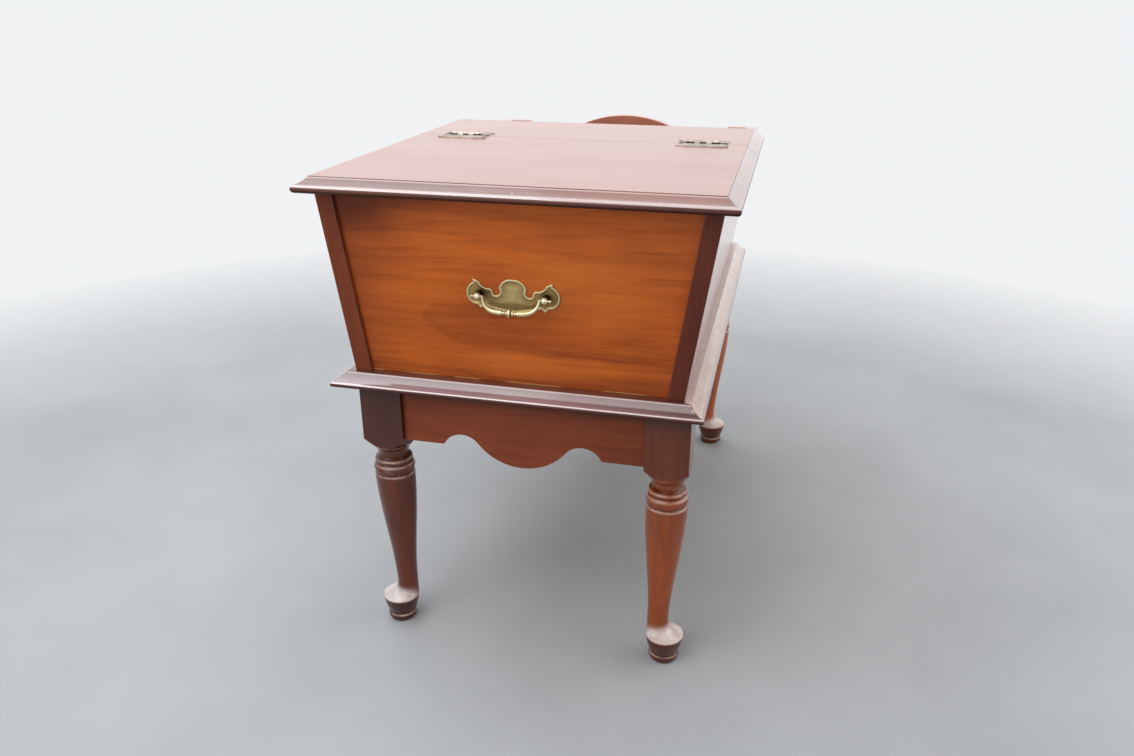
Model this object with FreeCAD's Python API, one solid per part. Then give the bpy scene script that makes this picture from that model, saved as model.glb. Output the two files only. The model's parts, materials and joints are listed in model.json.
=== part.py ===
"""Lift top end table: a flared storage box with a magazine rack on four turned legs.

Units are millimetres. The origin is on the floor under the centre of the table, +Z is up,
the front with the pull faces -Y and the magazine rack is at +Y.
"""
import FreeCAD, Part
import math
import os

V = FreeCAD.Vector
UP = V(0, 0, 1)
SIDES = {"left": -1, "right": 1}

# Overall sizes
FRONT_Y = -360.5
REAR_Y = 360.5
TOP_Z = 606.0

# Base: legs, aprons, deck
DECK_Z = 363.5
DECK_THICK = 16.0
BOX_Z = DECK_Z + DECK_THICK
WAIST_HALF = 217.2
WAIST_MOULDING = 32.0
LEG_X = 174.9
LEG_Y = {"front": -295.2, "rear": 331.5}
LEG_HALF = 26.1
APRON_SETBACK = 6.5
APRON_THICK = 19.0
APRON_Z = 281.0
SCALLOP_CREST_Z = 296.0
SCALLOP_DROP_Z = 260.0
FRONT_CUSP_X = 98.0
FRONT_CREST_X = 74.5
SIDE_CUSP_Y = 205.0
SIDE_CREST_Y = 170.0
DOWEL_R = 4.5
DOWEL_REACH = 18.0
DOWEL_Z = (303.0, 345.0)
CORNER_BLOCK_LEG = 40.0
CORNER_BLOCK_Z = 335.5
DECK_SCREW_X = 14.0
DECK_SCREW_Y = 12.0
DECK_SCREW_LENGTH = 38.0

# Turned leg, heights above the floor
PAD_RIM_Z = 36.5
PAD_RIM_R = 23.6
ANKLE_Z = 58.0
ANKLE_R = 13.5
SHAFT_TOP_Z = 222.0
SHAFT_TOP_R = 25.2
NECK_Z = 250.4
POMMEL_Z = 267.5
BLOCK_CORNER_Z = 280.5
THRUST = 5.2
THRUST_ANGLE = math.radians(17.0)
INNER_EDGE = PAD_RIM_R - THRUST

# Flared box
BOX_HALF = 193.2
FLARE = 0.1448
SIDE_THICK = 19.3
SIDE_FRONT_Y = -338.5
PANEL_SETBACK = 6.0
PANEL_THICK = 16.0
PARTITION_Y = (106.0, 122.0)
GALLERY_THICK = 16.0
GALLERY_EAR_Z = 579.5
GALLERY_PEAK_Z = 593.4
GALLERY_DIP_Z = 555.5
GALLERY_CUSP_X = 173.0
GALLERY_CREST_X = 129.5
RACK_STEP_Y = (139.0, 168.0)
CLEAT = 16.0
BOTTOM_SCREW_Y = (-280.0, -105.0, 70.0)
BOTTOM_SCREW_LENGTH = 28.0
TOP_SCREW_Y = (0.0, 80.0)
TOP_SCREW_LENGTH = 26.0

# Top: fixed rear strip and lid
TOP_THICK = 16.0
TOP_HALF = 240.0
TOP_MOULDING = 15.0
TOP_FRONT_Y = -359.5
TOP_REAR_Y = 138.0
SEAM_Y = -24.5
SEAM_GAP = 0.6
LID_GAP = 0.3
STRIP_Z = TOP_Z - TOP_THICK

# Edge mouldings
QUIRK = 0.6
SLOPE_SAG = 0.7
TOP_NOSE = 9.2
TOP_LIP = 1.3
WAIST_NOSE = 6.5
WAIST_SLOPE = 15.7
EASED_CORNER = 7.0

# Surface hinges
HINGE_X = {"left": -157.0, "right": 168.0}
LEAF_THICK = 1.5
BARREL_R = 2.3
BARREL_LENGTH = 38.0
BARREL_LIFT = 2.9
PIN_R = 1.2
PIN_CLEARANCE = 0.06
KNUCKLE_GAP = 0.3
FINIAL_R = 1.9
FINIAL_REACH = 1.55
HINGE_SCREWS = ((-26.0, 18.5), (0.0, 14.5), (26.0, 18.5))
HINGE_SCREW_LENGTH = 12.0

# Bail pull
PULL_Z = 483.1
POST_X = 38.1
POST_REACH = 8.1
BALL_R = 4.1
FLANGE_R = 4.6
FLANGE_THICK = 1.4
WAIST_FOOT_R = 3.4
WAIST_HEAD_R = 2.3
PLATE_THICK = 1.5
STUD_R = 2.0
STUD_PAST_NUT = 2.0
NUT_FLATS = 7.0
NUT_THICK = 3.0
BAIL_TIP_R = 1.2
BAIL_CLEARANCE = 0.08
BAIL_ELBOW_R = 1.5
BAIL_KNOB_R = 1.7
BAIL_KNOB_REACH = 2.2
BAIL_DROP = 15.6
BAIL_BOW = 4.5
GRIP_R = 3.1
GRIP_X = 9.0
CORE_R = 1.6
CORE_X = 9.5
DISC_R = 5.2
DISC_X = 0.9
BEAD_R = 2.7
BEAD_X = 3.4
COLLAR_R = 2.1
COLLAR_X = (6.0, 7.2)


def box(x0, x1, y0, y1, z0, z1):
    return Part.makeBox(x1 - x0, y1 - y0, z1 - z0, V(x0, y0, z0))


def rod(radius, start, end):
    return Part.makeCylinder(radius, start.distanceToPoint(end), start, end - start)


def outline(start, steps, to_space):
    """Closed face from 2-D steps: (a, b) is a straight run, (am, bm, a, b) an arc through am, bm."""
    edges = []
    here = start
    for step in list(steps) + [start]:
        there = step[-2:]
        if len(step) == 4:
            through = to_space(*step[:2])
            edges.append(Part.Arc(to_space(*here), through, to_space(*there)).toShape())
        elif math.dist(here, there) > 1e-6:
            edges.append(Part.LineSegment(to_space(*here), to_space(*there)).toShape())
        here = there
    return Part.Face(Part.Wire(edges))


def prism_along_x(start, steps, x0, x1):
    return outline(start, steps, lambda y, z: V(x0, y, z)).extrude(V(x1 - x0, 0, 0))


def prism_along_y(start, steps, y0, y1):
    return outline(start, steps, lambda x, z: V(x, y0, z)).extrude(V(0, y1 - y0, 0))


def prism_along_z(start, steps, z0, z1):
    return outline(start, steps, lambda x, y: V(x, y, z0)).extrude(V(0, 0, z1 - z0))


def turned(start, steps, x, y):
    """Solid turned round the vertical line at x, y from an outline of (radius, z) steps."""
    face = outline(start, steps, lambda r, z: V(x + r, y, z))
    return face.revolve(V(x, y, 0), UP, 360)


def turned_along_x(start, steps, x, y, z):
    """Solid turned round the line along X through x, y, z from an outline of (along, radius)."""
    face = outline(start, steps, lambda a, r: V(x + a, y, z + r))
    return face.revolve(V(x, y, z), V(1, 0, 0), 360)


def scallop(cusp, crest, flat_z, crest_z, centre_z):
    """Steps from (cusp, flat_z) to (-cusp, flat_z): a crest arc, a tangent centre arc, a crest."""
    sign = 1 if crest_z > flat_z else -1
    rise = sign * (crest_z - flat_z)
    crest_r = ((cusp - crest) ** 2 + rise**2) / (2 * rise)
    crest_mid = sign * crest_z - crest_r
    gap = crest_mid - sign * centre_z
    centre_r = (crest**2 + gap**2 - crest_r**2) / (2 * (crest_r + gap))
    reach = crest_r / (crest_r + centre_r)
    join_x = crest * (1 - reach)
    join_z = sign * (crest_mid + reach * (sign * centre_z + centre_r - crest_mid))
    return [
        (crest, crest_z, join_x, join_z),
        (0, centre_z, -join_x, join_z),
        (-crest, crest_z, -cusp, flat_z),
    ]


def both_halves(start, half):
    """Steps of a closed outline from the steps of its +a half, which ends on the line a = 0."""
    points = [start] + [step[-2:] for step in half]
    back = []
    for step, before in zip(reversed(half), reversed(points[:-1])):
        through = (-step[0], step[1]) if len(step) == 4 else ()
        back.append(through + (-before[0], before[1]))
    return list(half) + back


def wood_screw(head, direction, length, head_r=3.2, shank_r=1.7):
    """Countersunk screw without its slot. head is the middle of the flat of the head."""
    neck = head + direction * (head_r - shank_r)
    tip = head + direction * (length - 2 * shank_r)
    cone = Part.makeCone(head_r, shank_r, head_r - shank_r, head, direction)
    shank = rod(shank_r, neck, tip)
    point = Part.makeCone(shank_r, 0.3, 2 * shank_r, tip, direction)
    return cone.fuse([shank, point]).removeSplitter()


def slotted(screw, head, direction, across, width=0.8, depth=0.8):
    """Cut the driver slot; across is the direction that the slot runs in."""
    side = direction.cross(across)
    corner = head - across * 10 - side * (width / 2)
    ends = [corner, corner + across * 20, corner + across * 20 + side * width, corner + side * width]
    slot = Part.Face(Part.makePolygon(ends + [corner])).extrude(direction * depth)
    return screw.cut(slot)


def screw_set(places, direction, length, across, **sizes):
    """Plain bodies, which cut their own holes, and the finished slotted screws."""
    plain = [wood_screw(place, direction, length, **sizes) for place in places]
    finished = [slotted(body, place, direction, across) for body, place in zip(plain, places)]
    return plain, finished


def side_face(z):
    """Half width of the box at height z, measured to the outer face of a side board."""
    return BOX_HALF + FLARE * (z - BOX_Z)


def between_sides(y0, y1, z0, z1):
    """Board that fills the width between the flared side boards."""
    low = side_face(z0) - SIDE_THICK
    high = side_face(z1) - SIDE_THICK
    return prism_along_y((-low, z0), [(low, z0), (high, z1), (-high, z1)], y0, y1)


# Base


def shaft_sections():
    """(z, radius, shift along the thrust) from the pad rim up to the top of the shaft."""
    flare = ((PAD_RIM_Z, PAD_RIM_R), (37.6, 22.2), (39.3, 19.0), (42.2, 16.3), (47.0, 14.4),
             (ANKLE_Z, ANKLE_R))
    sections = [(z, radius, radius - INNER_EDGE) for z, radius in flare]
    lean = ANKLE_R - INNER_EDGE
    for part in (0.12, 0.25, 0.4, 0.55, 0.7, 0.85, 1.0):
        z = ANKLE_Z + part * (SHAFT_TOP_Z - ANKLE_Z)
        swell = part * part * (3 - 2 * part)
        radius = ANKLE_R + swell * (SHAFT_TOP_R - ANKLE_R)
        sections.append((z, radius, lean * (1 - part)))
    return sections


def leg(side, end):
    x = side * LEG_X
    y = LEG_Y["front" if end < 0 else "rear"]
    thrust = V(side * math.cos(THRUST_ANGLE), end * math.sin(THRUST_ANGLE), 0)
    rings = []
    for z, radius, shift in shaft_sections():
        centre = V(x, y, z) + thrust * shift
        rings.append(Part.Wire(Part.makeCircle(radius, centre, UP)))
    shaft = Part.makeLoft(rings, True, False)

    pad = turned(
        (0, 0),
        [(16.2, 0), (19.2, 6.3, 17.8, 12.0), (18.4, 13.5), (22.0, 24.0, 23.9, 35.0),
         (PAD_RIM_R, PAD_RIM_Z), (0, PAD_RIM_Z)],
        x + thrust.x * THRUST, y + thrust.y * THRUST)

    neck = turned(
        (0, SHAFT_TOP_Z),
        [(SHAFT_TOP_R, SHAFT_TOP_Z), (25.1, 225.0, 23.8, 226.8), (23.8, 228.4),
         (25.9, 234.6, 22.2, 241.2), (23.7, 245.4, 19.2, 249.6), (18.3, NECK_Z),
         (20.2, 258.4, 26.0, POMMEL_Z), (38.0, BLOCK_CORNER_Z), (38.0, DECK_Z), (0, DECK_Z)],
        x, y)
    block = box(x - LEG_HALF, x + LEG_HALF, y - LEG_HALF, y + LEG_HALF, SHAFT_TOP_Z, DECK_Z)
    return pad.fuse([shaft, neck.common(block)]).removeSplitter()


def apron_outline(half, cusp=None, crest=None):
    """Start and steps of an apron of the given half length; without a cusp its edge is straight."""
    wave = scallop(cusp, crest, APRON_Z, SCALLOP_CREST_Z, SCALLOP_DROP_Z) if cusp else []
    lead = [(cusp, APRON_Z)] if cusp else []
    steps = [(half, DECK_Z), (half, APRON_Z)] + lead + wave + [(-half, APRON_Z)]
    return (-half, DECK_Z), steps


def aprons():
    half_x = LEG_X - LEG_HALF
    front_y = LEG_Y["front"] - LEG_HALF + APRON_SETBACK
    rear_y = LEG_Y["rear"] + LEG_HALF - APRON_SETBACK
    out_x = LEG_X + LEG_HALF - APRON_SETBACK
    mid_y = (LEG_Y["front"] + LEG_Y["rear"]) / 2
    half_y = (LEG_Y["rear"] - LEG_Y["front"]) / 2 - LEG_HALF
    start, steps = apron_outline(half_x, FRONT_CUSP_X, FRONT_CREST_X)
    front = prism_along_y(start, steps, front_y, front_y + APRON_THICK)
    start, steps = apron_outline(half_x)
    rear = prism_along_y(start, steps, rear_y - APRON_THICK, rear_y)
    start, steps = apron_outline(half_y, SIDE_CUSP_Y, SIDE_CREST_Y)
    right = prism_along_x(start, steps, out_x - APRON_THICK, out_x)
    right.translate(V(0, mid_y, 0))
    left = right.mirror(V(0, 0, 0), V(1, 0, 0))
    return {"apron_front": front, "apron_rear": rear, "apron_left": left, "apron_right": right}


def dowels():
    """Two dowels across each of the eight joints between an apron and a leg."""
    half_x = LEG_X - LEG_HALF
    side_x = LEG_X + LEG_HALF - APRON_SETBACK - APRON_THICK / 2
    inset = APRON_SETBACK + APRON_THICK / 2 - LEG_HALF
    rail_y = {"front": LEG_Y["front"] + inset, "rear": LEG_Y["rear"] - inset}
    pins = []
    for side in SIDES.values():
        for end, toward in (("front", 1), ("rear", -1)):
            face_y = LEG_Y[end] + toward * LEG_HALF
            for z in DOWEL_Z:
                low = V(side * half_x - DOWEL_REACH, rail_y[end], z)
                pins.append(rod(DOWEL_R, low, low + V(2 * DOWEL_REACH, 0, 0)))
                low = V(side * side_x, face_y - DOWEL_REACH, z)
                pins.append(rod(DOWEL_R, low, low + V(0, 2 * DOWEL_REACH, 0)))
    return pins


def corner_blocks():
    """Glue blocks in the four corners between two aprons and the inner corner of a leg."""
    leg_x = LEG_X - LEG_HALF
    apron_x = LEG_X + LEG_HALF - APRON_SETBACK - APRON_THICK
    blocks = []
    for side in SIDES.values():
        for end, toward in (("front", 1), ("rear", -1)):
            leg_y = LEG_Y[end] + toward * LEG_HALF
            apron_y = LEG_Y[end] - toward * (LEG_HALF - APRON_SETBACK - APRON_THICK)
            corners = [
                (side * leg_x, apron_y),
                (side * leg_x, leg_y),
                (side * apron_x, leg_y),
                (side * apron_x, leg_y + toward * CORNER_BLOCK_LEG),
            ]
            start = (side * (leg_x - CORNER_BLOCK_LEG), apron_y)
            blocks.append(prism_along_z(start, corners, CORNER_BLOCK_Z, DECK_Z))
    return blocks


def deck_screws():
    places = []
    for side in SIDES.values():
        for end, toward in (("front", 1), ("rear", -1)):
            y = LEG_Y[end] + toward * DECK_SCREW_Y
            x = side * (LEG_X - LEG_HALF - DECK_SCREW_X)
            places.append(V(x, y, CORNER_BLOCK_Z))
    return screw_set(places, UP, DECK_SCREW_LENGTH, V(1, 0, 0), head_r=4.0, shank_r=2.1)


def deck_board():
    half = WAIST_HALF - WAIST_MOULDING
    return box(-half, half, FRONT_Y + WAIST_MOULDING, REAR_Y, DECK_Z, BOX_Z)


# Mouldings


def edge_profile(height, nose, slope, width):
    """Section of an edge moulding: u runs inward from its outer edge and v up from its foot."""
    r = nose / 2
    top = height - QUIRK
    length = math.dist((r, nose), (slope, top))
    mid_u = (r + slope) / 2 + SLOPE_SAG * (top - nose) / length
    mid_v = (nose + top) / 2 - SLOPE_SAG * (slope - r) / length
    steps = [(r, 0), (0, r, r, nose), (mid_u, mid_v, slope, top)]
    if slope < width:
        steps += [(slope, height), (width, height)]
    return (width, 0), steps


def mitre_waste(side, half, front_y, width, keep_front):
    """Wedge that a 45 degree mitre at the front corner removes from one of its two pieces."""
    over = 5.0
    outer = (side * (half + over), front_y - over)
    inner = (side * (half - width - over), front_y + width + over)
    corner = (outer[0], inner[1]) if keep_front else (inner[0], outer[1])
    return prism_along_z(outer, [inner, corner], 0, TOP_Z + over)


def front_moulding(half, front_y, z, profile, width):
    """Moulding along a front edge, mitred at both ends."""
    start, steps = profile
    face = outline(start, steps, lambda u, v: V(-half, front_y + u, z + v))
    bar = face.extrude(V(2 * half, 0, 0))
    return bar.cut([mitre_waste(side, half, front_y, width, True) for side in SIDES.values()])


def side_moulding(side, half, y0, y1, z, profile):
    start, steps = profile
    face = outline(start, steps, lambda u, v: V(side * (half - u), y0, z + v))
    return face.extrude(V(0, y1 - y0, 0))


def mitred_side_moulding(side, half, y0, y1, z, profile, width):
    bar = side_moulding(side, half, y0, y1, z, profile)
    return bar.cut(mitre_waste(side, half, y0, width, False))


def eased_corner_waste(side, half, y1, radius):
    """Waste outside a rounded vertical corner at the rear outer edge."""
    bevel = radius * (1 - math.sqrt(0.5))
    steps = [(side * (half - bevel), y1 - bevel, side * (half - radius), y1),
             (side * (half - radius), y1 + 1), (side * (half + 1), y1 + 1),
             (side * (half + 1), y1 - radius)]
    return prism_along_z((side * half, y1 - radius), steps, 0, TOP_Z + 1)


def waist_mouldings():
    profile = edge_profile(DECK_THICK, WAIST_NOSE, WAIST_SLOPE, WAIST_MOULDING)
    parts = {
        "waist_moulding_front":
            front_moulding(WAIST_HALF, FRONT_Y, DECK_Z, profile, WAIST_MOULDING)
    }
    for name, side in SIDES.items():
        parts["waist_moulding_" + name] = mitred_side_moulding(
            side, WAIST_HALF, FRONT_Y, REAR_Y, DECK_Z, profile, WAIST_MOULDING)
    return parts


# Box and rack


def side_board(side):
    """Flared board, full length; behind the top its upper edge drops in a small ogee."""
    top = side_face(STRIP_Z)
    corners = [(side * top, STRIP_Z), (side * (top - SIDE_THICK), STRIP_Z),
               (side * (BOX_HALF - SIDE_THICK), BOX_Z)]
    board = prism_along_y((side * BOX_HALF, BOX_Z), corners, SIDE_FRONT_Y, REAR_Y)
    y0, y1 = RACK_STEP_Y
    mid_y = (y0 + y1) / 2
    mid_z = (STRIP_Z + GALLERY_EAR_Z) / 2
    quarter = (y1 - y0) / 4
    bend = (STRIP_Z - GALLERY_EAR_Z) / 5
    ogee = [(y0 + quarter, STRIP_Z - bend, mid_y, mid_z),
            (y1 - quarter, GALLERY_EAR_Z + bend, y1, GALLERY_EAR_Z),
            (REAR_Y + 1, GALLERY_EAR_Z), (REAR_Y + 1, STRIP_Z + 1), (y0, STRIP_Z + 1)]
    waste = prism_along_x((y0, STRIP_Z), ogee, side * top - 60, side * top + 60)
    return board.cut(waste)


def front_panel():
    y = SIDE_FRONT_Y + PANEL_SETBACK
    return between_sides(y, y + PANEL_THICK, BOX_Z, STRIP_Z)


def back_board():
    """Gallery board: flat ears, dips and a centre arch, the front apron's line turned over."""
    low = side_face(BOX_Z) - SIDE_THICK
    high = side_face(GALLERY_EAR_Z) - SIDE_THICK
    wave = scallop(
        GALLERY_CUSP_X, GALLERY_CREST_X, GALLERY_EAR_Z, GALLERY_DIP_Z, GALLERY_PEAK_Z)
    steps = [(low, BOX_Z), (high, GALLERY_EAR_Z), (GALLERY_CUSP_X, GALLERY_EAR_Z)] + wave
    steps += [(-high, GALLERY_EAR_Z)]
    return prism_along_y((-low, BOX_Z), steps, REAR_Y - GALLERY_THICK, REAR_Y)


def cleat(side, z0, z1, y0, y1):
    """Strip along the inner face of a side board."""
    low = side_face(z0) - SIDE_THICK
    high = side_face(z1) - SIDE_THICK
    inner = min(low, high) - CLEAT
    corners = [(side * low, z0), (side * high, z1), (side * inner, z1)]
    return prism_along_y((side * inner, z0), corners, y0, y1)


def cleats():
    """Bottom and top cleats with the screws that hold them to the deck and the top strip."""
    panel_back = SIDE_FRONT_Y + PANEL_SETBACK + PANEL_THICK
    strip_front = SEAM_Y + SEAM_GAP
    bottom = []
    top = []
    down = []
    up = []
    for side in SIDES.values():
        bottom.append(cleat(side, BOX_Z, BOX_Z + CLEAT, panel_back, PARTITION_Y[0]))
        top.append(cleat(side, STRIP_Z - CLEAT, STRIP_Z, strip_front, PARTITION_Y[0]))
        x = side * (side_face(BOX_Z) - SIDE_THICK - CLEAT / 2)
        down += [V(x, y, BOX_Z + CLEAT) for y in BOTTOM_SCREW_Y]
        x = side * (side_face(STRIP_Z - CLEAT) - SIDE_THICK - CLEAT / 2)
        up += [V(x, y, STRIP_Z - CLEAT) for y in TOP_SCREW_Y]
    down_screws = screw_set(down, -UP, BOTTOM_SCREW_LENGTH, V(1, 0, 0))
    up_screws = screw_set(up, UP, TOP_SCREW_LENGTH, V(1, 0, 0))
    return bottom, top, down_screws, up_screws


# Top


def top_strip():
    """Fixed rear part of the top with its two side mouldings, which hang a little below it."""
    inner = TOP_HALF - TOP_MOULDING
    y0 = SEAM_Y + SEAM_GAP / 2
    z = STRIP_Z - TOP_LIP
    profile = edge_profile(TOP_Z - z, TOP_NOSE, TOP_MOULDING, TOP_MOULDING)
    parts = {"top_strip": box(-inner, inner, y0, TOP_REAR_Y, STRIP_Z, TOP_Z)}
    for name, side in SIDES.items():
        bar = side_moulding(side, TOP_HALF, y0, TOP_REAR_Y, z, profile)
        waste = eased_corner_waste(side, TOP_HALF, TOP_REAR_Y, EASED_CORNER)
        parts["top_moulding_" + name] = bar.cut(waste)
    return parts


def lid():
    """Lid board, a little clear of the box, and its three mitred mouldings."""
    inner = TOP_HALF - TOP_MOULDING
    y1 = SEAM_Y - SEAM_GAP / 2
    board_z = STRIP_Z + LID_GAP
    z = STRIP_Z - TOP_LIP
    profile = edge_profile(TOP_Z - z, TOP_NOSE, TOP_MOULDING, TOP_MOULDING)
    parts = {
        "lid_board": box(-inner, inner, TOP_FRONT_Y + TOP_MOULDING, y1, board_z, TOP_Z),
        "lid_moulding_front":
            front_moulding(TOP_HALF, TOP_FRONT_Y, z, profile, TOP_MOULDING),
    }
    for name, side in SIDES.items():
        parts["lid_moulding_" + name] = mitred_side_moulding(
            side, TOP_HALF, TOP_FRONT_Y, y1, z, profile, TOP_MOULDING)
    return parts


# Hinges


# Half outline of a leaf: run along the hinge, distance from the pin's axis.
LEAF_HALF = [
    (20.5, 3.2), (27.0, 3.6), (31.5, 5.8, 27.5, 9.6), (25.4, 12.6, 28.4, 14.8),
    (34.0, 21.4), (29.0, 23.2, 23.6, 24.0), (21.5, 25.0), (0, 25.0),
]


def leaf_plate(x, toward):
    """Shaped hinge leaf lying on the top; toward is -1 for the lid's leaf and 1 for the strip's."""
    start = (0, LEAF_HALF[0][1])
    steps = both_halves(start, LEAF_HALF)
    face = outline(start, steps, lambda a, b: V(x + a, SEAM_Y + toward * b, TOP_Z))
    return face.extrude(V(0, 0, LEAF_THICK))


def knuckle(x0, x1, toward, bore_r):
    """One barrel knuckle between x0 and x1, with the strap that joins it to its leaf."""
    axis_z = TOP_Z + BARREL_LIFT
    barrel = rod(BARREL_R, V(x0, SEAM_Y, axis_z), V(x1, SEAM_Y, axis_z))
    strap = prism_along_x(
        (SEAM_Y + toward * 5.5, TOP_Z),
        [(SEAM_Y + toward * 5.5, TOP_Z + LEAF_THICK),
         (SEAM_Y + toward * 2.1, axis_z + 0.8),
         (SEAM_Y + toward * 0.4, axis_z - 0.7),
         (SEAM_Y + toward * 2.6, TOP_Z)],
        x0, x1)
    bore = rod(bore_r, V(x0 - 1, SEAM_Y, axis_z), V(x1 + 1, SEAM_Y, axis_z))
    return barrel.fuse(strap).cut(bore)


def hinge_pin(x, axis_z):
    """Pin with a ball finial turned on each end, just outside the barrel."""
    half = BARREL_LENGTH / 2
    ball = half + FINIAL_REACH
    neck_r = math.sqrt(FINIAL_R**2 - FINIAL_REACH**2)
    right = [(half, PIN_R), (half, neck_r), (ball, FINIAL_R, ball + FINIAL_R, 0), (0, 0)]
    start = (0, PIN_R)
    return turned_along_x(start, both_halves(start, right), x, SEAM_Y, axis_z).removeSplitter()


def hinge(name, x):
    """Surface hinge: the strip's leaf holds the pin, the lid's leaf turns on it."""
    axis_z = TOP_Z + BARREL_LIFT
    half = BARREL_LENGTH / 2
    cuts = [x - half, x - half / 5 * 3, x - half / 5, x + half / 5, x + half / 5 * 3, x + half]
    leaves = {}
    for leaf, toward, slots, bore_r in (
            ("top", 1, (0, 2, 4), PIN_R), ("lid", -1, (1, 3), PIN_R + PIN_CLEARANCE)):
        shape = leaf_plate(x, toward)
        for slot in slots:
            trim = KNUCKLE_GAP if leaf == "lid" else 0
            shape = shape.fuse(knuckle(cuts[slot] + trim, cuts[slot + 1] - trim, toward, bore_r))
        leaves[leaf] = shape.removeSplitter()
    return {
        f"hinge_{name}_lid_leaf": leaves["lid"],
        f"hinge_{name}_top_leaf": leaves["top"],
        f"hinge_{name}_pin": hinge_pin(x, axis_z),
    }


def hinge_screws(toward):
    places = []
    for x in HINGE_X.values():
        for across, along in HINGE_SCREWS:
            places.append(V(x + across, SEAM_Y + toward * along, TOP_Z + LEAF_THICK))
    return screw_set(places, -UP, HINGE_SCREW_LENGTH, V(0.8, 0.6, 0), head_r=2.6, shank_r=1.3)


# Pull


PANEL_FACE_Y = SIDE_FRONT_Y + PANEL_SETBACK
POST_Y = PANEL_FACE_Y - PLATE_THICK - POST_REACH
# Half outline of the back plate, measured from the middle of the line through the posts.
PLATE_TOP = (0.0, 18.7)
PLATE_HALF = [
    (10.5, 16.1, 15.8, 7.9), (14.6, 4.1), (17.0, 0.1, 22.5, 0.9), (24.6, 6.5, 29.5, 7.2),
    (34.6, 9.5, 38.0, 13.9), (45.7, 17.6), (45.2, 13.1), (53.4, 0.1, 45.5, -11.7),
    (40.5, -12.3), (36.8, -16.5), (32.5, -12.5), (17.0, -17.5, 0.0, -19.4),
]


def pull_plate():
    """Bat-wing back plate, both halves drawn from one half outline."""
    steps = both_halves(PLATE_TOP, PLATE_HALF)
    face = outline(PLATE_TOP, steps, lambda x, z: V(x, PANEL_FACE_Y, PULL_Z + z))
    plate = face.extrude(V(0, -PLATE_THICK, 0))
    for side in SIDES.values():
        plate = plate.cut(stud(side))
    return plate


def stud(side):
    x = side * POST_X
    back_y = PANEL_FACE_Y + PANEL_THICK + NUT_THICK + STUD_PAST_NUT
    return rod(STUD_R, V(x, PANEL_FACE_Y - PLATE_THICK - 1, PULL_Z), V(x, back_y, PULL_Z))


def pull_post(side):
    """Ball post: flange on the plate, waist, ball with the bail's bore, stud through the panel."""
    x = side * POST_X
    plate_y = PANEL_FACE_Y - PLATE_THICK
    foot = V(x, plate_y - FLANGE_THICK, PULL_Z)
    flange = rod(FLANGE_R, V(x, plate_y, PULL_Z), foot)
    waist = Part.makeCone(
        WAIST_FOOT_R, WAIST_HEAD_R, POST_REACH - FLANGE_THICK, foot, V(0, -1, 0))
    ball = Part.makeSphere(BALL_R, V(x, POST_Y, PULL_Z))
    past = 2 * BALL_R
    bore_r = BAIL_TIP_R + BAIL_CLEARANCE
    bore = rod(bore_r, V(x - past, POST_Y, PULL_Z), V(x + past, POST_Y, PULL_Z))
    return flange.fuse([waist, ball, stud(side)]).removeSplitter().cut(bore)


# Half of the bail from its grip to the pivot: x, share of the bow, share of the drop, radius.
BAIL_HALF = [
    (GRIP_X, 1.0, 1.0, GRIP_R), (17.0, 0.95, 0.96, 2.9), (24.5, 0.8, 0.82, 2.5),
    (29.4, 0.5, 0.55, 2.0), (31.7, 0.2, 0.22, 1.6), (32.2, 0.0, 0.0, 1.45),
]


def bail_tip():
    """Round elbow, the tip that runs in the ball post's bore, and the knob outside it."""
    elbow_x = BAIL_HALF[-1][0]
    elbow_end = elbow_x + math.sqrt(BAIL_ELBOW_R**2 - BAIL_TIP_R**2)
    knob_x = POST_X + BALL_R + BAIL_KNOB_REACH
    knob_start = knob_x - math.sqrt(BAIL_KNOB_R**2 - BAIL_TIP_R**2)
    return turned_along_x(
        (elbow_x - BAIL_ELBOW_R, 0),
        [(elbow_x, BAIL_ELBOW_R, elbow_end, BAIL_TIP_R), (knob_start, BAIL_TIP_R),
         (knob_x, BAIL_KNOB_R, knob_x + BAIL_KNOB_R, 0)],
        0, POST_Y, PULL_Z)


def bail_arm():
    """Right arm, a loft that thins from the grip to the elbow, with its tip."""
    points = [V(x, POST_Y - bow * BAIL_BOW, PULL_Z - drop * BAIL_DROP)
              for x, bow, drop, radius in BAIL_HALF]
    sections = []
    for index, (centre, place) in enumerate(zip(points, BAIL_HALF)):
        after = points[min(index + 1, len(points) - 1)]
        before = points[max(index - 1, 0)]
        heading = V(1, 0, 0) if index == 0 else after - before
        sections.append(Part.Wire(Part.makeCircle(place[3], centre, heading)))
    return Part.makeLoft(sections, True, False).fuse(bail_tip())


def bail_middle():
    """Middle of the grip: a disc between two beads and two collars, turned on a thin core."""
    bead_reach = math.sqrt(BEAD_R**2 - CORE_R**2)
    right = [
        (DISC_X, DISC_R), (DISC_X, CORE_R), (BEAD_X - bead_reach, CORE_R),
        (BEAD_X, BEAD_R, BEAD_X + bead_reach, CORE_R), (COLLAR_X[0], CORE_R),
        (COLLAR_X[0], COLLAR_R), (COLLAR_X[1], COLLAR_R), (COLLAR_X[1], CORE_R),
        (CORE_X, CORE_R), (CORE_X, 0), (0, 0),
    ]
    start = (0, DISC_R)
    return turned_along_x(
        start, both_halves(start, right), 0, POST_Y - BAIL_BOW, PULL_Z - BAIL_DROP)


def pull_bail():
    """Swinging bail: the turned middle and two arms that mirror each other."""
    right = bail_arm()
    left = right.mirror(V(0, 0, 0), V(1, 0, 0))
    return bail_middle().fuse([right, left]).removeSplitter()


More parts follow.
